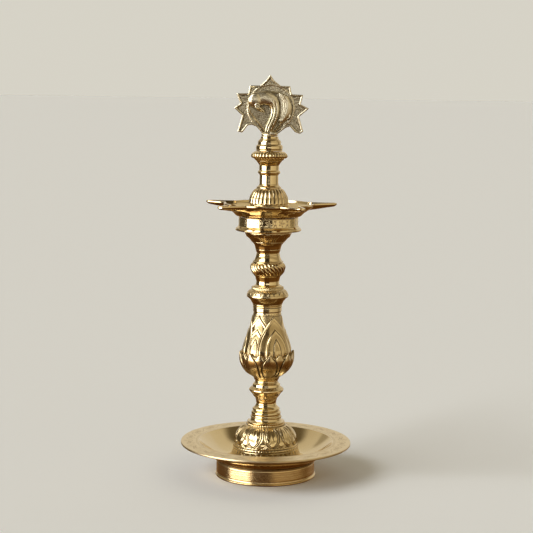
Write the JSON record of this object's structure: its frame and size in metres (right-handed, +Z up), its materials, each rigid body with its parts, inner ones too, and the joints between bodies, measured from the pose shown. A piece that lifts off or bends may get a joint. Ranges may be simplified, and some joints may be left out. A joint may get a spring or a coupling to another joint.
{
  "type": "standing oil lamp",
  "caption": "Brass standing oil lamp: foot tray, turned stem with a lotus vase, oil dish with wick spouts and a peacock fan finial; its sections unscrew from each other.",
  "frame": {"origin": "centre of the foot ring's flat bottom, on the lamp's axis", "axes": "+Z up along the lamp's axis; the peacock faces -Y, the front"},
  "size_m": [0.13, 0.13, 0.305],
  "materials": {
    "polished_brass": "turned and polished",
    "satin_brass": "satin, brushed round",
    "tray_brass": "spun and polished, with a matte engraved rim",
    "antique_brass": "cast, with dark recesses",
    "drawn_brass": "plain machined"
  },
  "bodies": {
    "base": {"foot_ring": "satin_brass", "tray": "tray_brass", "base_bell": "polished_brass", "neck_collar": "polished_brass", "disc_knop": "polished_brass", "base_stud": "drawn_brass", "base_washer": "drawn_brass", "base_nut": "drawn_brass"},
    "vase_thread": {"vase_stud": "drawn_brass"},
    "vase": {"lotus_calyx": "polished_brass", "lotus_vase": "polished_brass"},
    "stem_thread": {"upper_stud": "drawn_brass"},
    "stem": {"flange_knop": "polished_brass", "rope_knop": "polished_brass", "cup_stud": "drawn_brass", "cup_capital": "polished_brass"},
    "dish_thread": {"dish_stud": "drawn_brass"},
    "dish": {"dish_foot": "polished_brass", "oil_dish": "polished_brass"},
    "finial_thread": {"finial_stud": "drawn_brass"},
    "finial": {"finial_stem": "polished_brass", "finial_cap": "polished_brass", "peacock_fan": "antique_brass", "peacock": "antique_brass"}
  },
  "joints": [
    {"name": "vase_rise", "type": "slide", "parent": "base", "child": "vase_thread", "axis": [0, 0, 1], "range_m": [0, 0.009]},
    {"name": "vase_screw", "type": "hinge", "parent": "vase_thread", "child": "vase", "pos_m": [0, 0, 0.0723], "axis": [0, 0, 1], "range_deg": [0, 2160]},
    {"name": "stem_rise", "type": "slide", "parent": "vase", "child": "stem_thread", "axis": [0, 0, 1], "range_m": [0, 0.009]},
    {"name": "stem_screw", "type": "hinge", "parent": "stem_thread", "child": "stem", "pos_m": [0, 0, 0.1312], "axis": [0, 0, 1], "range_deg": [0, 2160]},
    {"name": "dish_rise", "type": "slide", "parent": "stem", "child": "dish_thread", "axis": [0, 0, 1], "range_m": [0, 0.009]},
    {"name": "dish_screw", "type": "hinge", "parent": "dish_thread", "child": "dish", "pos_m": [0, 0, 0.1874], "axis": [0, 0, 1], "range_deg": [0, 2160]},
    {"name": "finial_rise", "type": "slide", "parent": "dish", "child": "finial_thread", "axis": [0, 0, 1], "range_m": [0, 0.0075]},
    {"name": "finial_screw", "type": "hinge", "parent": "finial_thread", "child": "finial", "pos_m": [0, 0, 0.2006], "axis": [0, 0, 1], "range_deg": [0, 1800]}
  ],
  "couplings": [
    {"joint": "vase_screw", "follows": "vase_rise", "rad_per_m": 4188.8},
    {"joint": "stem_screw", "follows": "stem_rise", "rad_per_m": 4188.8},
    {"joint": "dish_screw", "follows": "dish_rise", "rad_per_m": 4188.8},
    {"joint": "finial_screw", "follows": "finial_rise", "rad_per_m": 4188.8}
  ]
}
